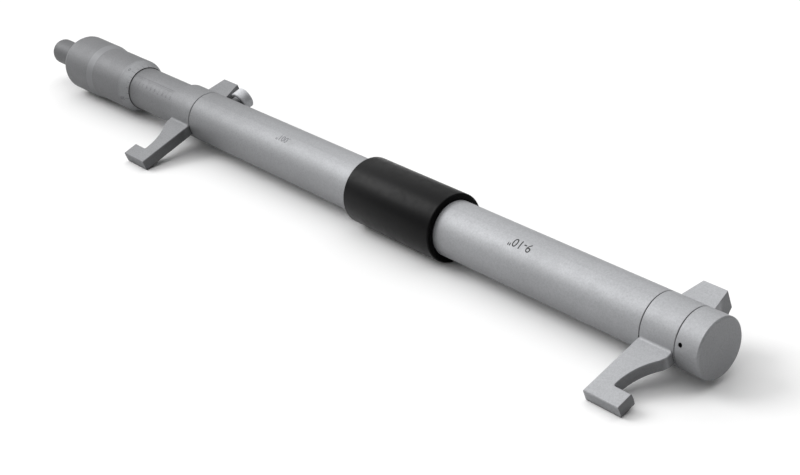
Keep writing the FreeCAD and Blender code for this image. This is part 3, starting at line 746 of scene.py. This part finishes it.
class MICROMETER_OT_chrome(bpy.types.Operator):
    """Gives the outer steel pieces their bead-blasted satin chrome"""
    bl_idname = "micrometer.chrome"
    bl_label = "Satin chrome"

    def execute(self, context):
        finish = context.scene.micrometer_chrome
        dress(CHROME_NODES, satin_chrome(finish, "satin_chrome", finish.head, arms=True))
        # the knob's copy of the plating is darker as painted shade
        dress(KNOB_NODES, satin_chrome(finish, "satin_chrome_knob_shaded", finish.knob))
        # the lock screw's copy of the plating is lighter as a painted highlight
        dress(LOCK_NODES, satin_chrome(finish, "satin_chrome_lock_lit", finish.lock, neck=True))
        return {"FINISHED"}


class MICROMETER_OT_works(bpy.types.Operator):
    """Gives the inner works their ground steel and bronze"""
    bl_idname = "micrometer.works"
    bl_label = "Inner works"

    def execute(self, context):
        finish = context.scene.micrometer_steel
        dress(STEEL_NODES, ground_steel(finish))
        dress(BRONZE_NODES, bearing_bronze(finish))
        return {"FINISHED"}


class MICROMETER_OT_spring(bpy.types.Operator):
    """Winds the ratchet's spring of round wire, as a coil of fixed length; it does not shorten as the disc
    lifts
    """
    bl_idname = "micrometer.spring"
    bl_label = "Ratchet spring"

    def execute(self, context):
        shape = context.scene.micrometer_spring
        low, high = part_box("ratchet_spring")
        wire = shape.wire / 2
        length = high.x - low.x
        steps = round(shape.turns * shape.steps)
        mesh = bmesh.new()
        bmesh.ops.create_circle(mesh, segments=shape.segments, radius=wire)
        bmesh.ops.rotate(mesh, verts=mesh.verts, cent=(0, 0, 0),
                         matrix=Matrix.Rotation(math.pi / 2, 3, "X"))
        bmesh.ops.translate(mesh, verts=mesh.verts, vec=(low.x + wire, 0, high.z - wire))
        bmesh.ops.spin(mesh, geom=mesh.verts[:] + mesh.edges[:], cent=(0, 0, 0), axis=(1, 0, 0),
                       dvec=((length - 2 * wire) / steps, 0, 0), angle=math.tau * shape.turns, steps=steps)
        rims = [edge for edge in mesh.edges if edge.is_boundary]
        bmesh.ops.holes_fill(mesh, edges=rims, sides=shape.segments)
        bmesh.ops.recalc_face_normals(mesh, faces=mesh.faces)
        for face in mesh.faces:
            face.smooth = len(face.verts) == 4
        piece = new_piece("ratchet_coil", mesh, "ratchet", replaced=["ratchet_spring"])
        piece.data.materials.append(spring_wire(context.scene.micrometer_steel))
        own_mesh(piece)
        return {"FINISHED"}


class MICROMETER_OT_grip(bpy.types.Operator):
    """Builds the moulded grip with rounded rims"""
    bl_idname = "micrometer.grip"
    bl_label = "Grip sleeve"

    def execute(self, context):
        shape = context.scene.micrometer_grip
        low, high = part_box("grip_sleeve")
        bore = outer_radius("main_tube")
        outer = outer_radius("grip_sleeve")
        mesh = turned([(low.x, bore), (low.x, outer), (high.x, outer), (high.x, bore)], shape.segments)
        bmesh.ops.bevel(mesh, geom=rings_at(mesh, [(low.x, outer), (high.x, outer)]), offset=shape.rim,
                        offset_type="OFFSET", affect="EDGES", segments=5, profile=0.5, material=-1)
        bmesh.ops.bevel(mesh, geom=rings_at(mesh, [(low.x, bore), (high.x, bore)]), offset=shape.inner_rim,
                        offset_type="OFFSET", affect="EDGES", segments=3, profile=0.5, material=-1)
        for face in mesh.faces:
            face.smooth = True
        grip = new_piece("grip_moulded", mesh, "tube", replaced=["grip_sleeve"])
        grip.data.set_sharp_from_angle(angle=math.radians(40))
        grip.data.materials.append(moulded_black(shape))
        return {"FINISHED"}


class MICROMETER_OT_range(bpy.types.Operator):
    """Marks the measuring range and the graduation on the tube"""
    bl_idname = "micrometer.range"
    bl_label = "Range on the tube"

    def execute(self, context):
        sizes = context.scene.micrometer_marks
        radius = outer_radius("main_tube")
        texts = [("range_mark", sizes.range_text, sizes.range_height, sizes.range_setback, RANGE_TINT),
                 ("graduation_mark", sizes.step_text, sizes.step_height, sizes.step_setback,
                  GRADUATION_TINT)]
        for name, text, height, setback, tint in texts:
            mesh = bmesh.new()
            lettering(mesh, text, height, 0, 0, sizes)
            wrap(mesh, -setback, lean_of_jaws() + sizes.angle, lambda x: radius)
            piece = new_piece(name, mesh, "tube")
            piece.data.materials.append(mark_filling(sizes, name + "_filling", tint))
        return {"FINISHED"}


class MICROMETER_OT_sleeve_scale(bpy.types.Operator):
    """Divides the sleeve into fortieths of an inch, from the thimble's edge towards the jaw"""
    bl_idname = "micrometer.sleeve_scale"
    bl_label = "Sleeve scale"

    def execute(self, context):
        sizes = context.scene.micrometer_marks
        radius = outer_radius("graduated_sleeve")
        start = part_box("thimble")[1].x
        half = sizes.line / 2
        mesh = bmesh.new()
        length = SLEEVE_DIVISIONS * SCREW_PITCH
        slab(mesh, -length - half, half, -half, half, sizes)
        for i in range(SLEEVE_DIVISIONS + 1):
            x = -i * SCREW_PITCH
            numbered = i % DIVISIONS_PER_NUMBER == 0
            slab(mesh, x - half, x + half, half, SLEEVE_LONG_LINE if numbered else SLEEVE_LINE, sizes)
            if numbered:
                number = str(i // DIVISIONS_PER_NUMBER % 10)
                lettering(mesh, number, SLEEVE_DIGIT, x, SLEEVE_LONG_LINE + 0.75 * SLEEVE_DIGIT, sizes)
        wrap(mesh, start, lean_of_jaws() + sizes.angle, lambda x: radius)
        piece = new_piece("sleeve_scale", mesh, "barrel")
        piece.data.materials.append(mark_filling(sizes, "scale_filling", SCALE_TINT))
        return {"FINISHED"}


class MICROMETER_OT_thimble_scale(bpy.types.Operator):
    """Divides the thimble's bevel into 25 parts, numbered by fives against the way it opens"""
    bl_idname = "micrometer.thimble_scale"
    bl_label = "Thimble scale"

    def execute(self, context):
        sizes = context.scene.micrometer_marks
        edge_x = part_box("thimble")[1].x
        lip = rim_radius("thimble", edge_x)
        front = rim_radius("thimble", edge_x - BEVEL_LENGTH)
        half = sizes.line / 2

        def bevel_radius(x):
            return lip + (front - lip) * (edge_x - x) / BEVEL_LENGTH

        whole = bmesh.new()
        for i in range(THIMBLE_DIVISIONS):
            numbered = i % THIMBLE_NUMBER_STEP == 0
            mesh = bmesh.new()
            end = THIMBLE_LONG_LINE if numbered else THIMBLE_LINE
            slab(mesh, THIMBLE_LINE_START, end, -half, half, sizes)
            if numbered:
                lettering(mesh, str(i), THIMBLE_DIGIT, THIMBLE_NUMBER_PLACE, 0, sizes)
            turn = lean_of_jaws() + sizes.angle - i * math.tau / THIMBLE_DIVISIONS
            wrap(mesh, edge_x, turn, bevel_radius)
            data = bpy.data.meshes.new("division")
            mesh.to_mesh(data)
            mesh.free()
            whole.from_mesh(data)
            bpy.data.meshes.remove(data)
        piece = new_piece("thimble_scale", whole, "thimble")
        piece.data.materials.append(mark_filling(sizes, "thimble_filling", SCALE_TINT))
        return {"FINISHED"}


class MICROMETER_OT_stage(bpy.types.Operator):
    """Sets the floor, the soft light, the surroundings and the camera"""
    bl_idname = "micrometer.stage"
    bl_label = "Studio"

    def execute(self, context):
        settings = context.scene.micrometer_stage
        context.scene.view_settings.view_transform = "Standard"
        self.lay_floor(settings)
        self.hang_light(settings)
        self.set_world(context, settings)
        self.place_camera(context, settings)
        return {"FINISHED"}

    def lay_floor(self, settings):
        mesh = bmesh.new()
        bmesh.ops.create_grid(mesh, x_segments=1, y_segments=1, size=settings.floor_size / 2)
        low, high = CAD_BOX
        bmesh.ops.translate(mesh, verts=mesh.verts, vec=((low.x + high.x) / 2, 0, low.z))
        data = bpy.data.meshes.new("floor")
        mesh.to_mesh(data)
        mesh.free()
        floor = bpy.data.objects.new("floor", data)
        bpy.context.scene.collection.objects.link(floor)
        material, tree, shader, place = new_material("pale_floor")
        patches = use_group(tree, "handling_cloud", Place=place, Size=400 * MM)
        tone = mixed(tree, patches["Cloud"], opaque(settings.floor, 0.995), opaque(settings.floor, 1.005))
        path = add(tree, "ShaderNodeLightPath").outputs
        shown = maths(tree, "MAXIMUM", path["Is Camera Ray"], path["Is Glossy Ray"])
        shown = maths(tree, "MAXIMUM", shown, path["Is Transmission Ray"])
        tone = mixed(tree, shown, opaque(settings.floor, settings.floor_bounce), tone)
        feed(tree, shader, Base_Color=tone, Roughness=0.9, Specular_IOR_Level=FLOOR_SPECULAR)
        floor.data.materials.append(material)

    def hang_light(self, settings):
        lamp = bpy.data.lights.new("soft_light", "SUN")
        lamp.energy = settings.sun
        lamp.angle = settings.sun_size
        holder = bpy.data.objects.new("soft_light", lamp)
        holder.rotation_mode = "QUATERNION"
        holder.rotation_quaternion = Vector(settings.sun_from).to_track_quat("Z", "Y")
        bpy.context.scene.collection.objects.link(holder)

    def set_world(self, context, settings):
        world = bpy.data.worlds.new("studio")
        world.use_nodes = True
        tree = world.node_tree
        shade = tree.nodes["Background"]
        shade.inputs["Color"].default_value = (1, 1, 1, 1)
        look = add(tree, "ShaderNodeTexCoord").outputs["Generated"]
        middle = Vector(settings.sky_from).normalized()
        low, high = settings.sky_reach
        glow = ramp(tree, dotted(tree, look, middle), low, high, settings.room, settings.sky,
                    interpolation_type="SMOOTHSTEP")
        tree.links.new(glow, shade.inputs["Strength"])
        context.scene.world = world

    def place_camera(self, context, settings):
        camera = bpy.data.cameras.new("camera")
        camera.sensor_width = 36
        camera.lens = settings.lens
        camera.clip_start = 0.01
        camera.clip_end = 50
        holder = bpy.data.objects.new("camera", camera)
        look = Vector(settings.camera_aim) - Vector(settings.camera_place)
        turn = look.to_track_quat("-Z", "Y").to_matrix().to_4x4()
        roll = Matrix.Rotation(settings.camera_roll, 4, "Z")
        holder.matrix_world = Matrix.Translation(settings.camera_place) @ turn @ roll
        context.scene.collection.objects.link(holder)
        context.scene.camera = holder


OPERATORS = (MICROMETER_OT_chrome, MICROMETER_OT_works, MICROMETER_OT_spring, MICROMETER_OT_grip,
             MICROMETER_OT_range, MICROMETER_OT_sleeve_scale, MICROMETER_OT_thimble_scale,
             MICROMETER_OT_stage)
GROUPS = {"micrometer_chrome": ChromeFinish, "micrometer_steel": SteelFinish,
          "micrometer_spring": SpringShape, "micrometer_grip": GripShape, "micrometer_marks": MarkSizes,
          "micrometer_stage": StageSettings}


class MICROMETER_PT_panel(bpy.types.Panel):
    """Lists the sizes, the colours and the steps that dress the micrometer"""
    bl_idname = "MICROMETER_PT_panel"
    bl_label = "Inside micrometer"
    bl_space_type = "VIEW_3D"
    bl_region_type = "UI"
    bl_category = "Micrometer"

    def draw(self, context):
        for name, group in GROUPS.items():
            box = self.layout.box()
            for label in group.__annotations__:
                box.prop(getattr(context.scene, name), label)
        for operator in OPERATORS:
            self.layout.operator(operator.bl_idname)


def register():
    for group in GROUPS.values():
        bpy.utils.register_class(group)
    for name, group in GROUPS.items():
        setattr(bpy.types.Scene, name, PointerProperty(type=group))
    for kind in OPERATORS + (MICROMETER_PT_panel,):
        bpy.utils.register_class(kind)


def unregister():
    for kind in reversed(OPERATORS + (MICROMETER_PT_panel,)):
        bpy.utils.unregister_class(kind)
    for name, group in GROUPS.items():
        delattr(bpy.types.Scene, name)
        bpy.utils.unregister_class(group)


def main():
    register()
    bpy.ops.micrometer.chrome()
    bpy.ops.micrometer.works()
    bpy.ops.micrometer.spring()
    bpy.ops.micrometer.grip()
    bpy.ops.micrometer.range()
    bpy.ops.micrometer.sleeve_scale()
    bpy.ops.micrometer.thimble_scale()
    bpy.ops.micrometer.stage()


if __name__ == "__main__":
    main()
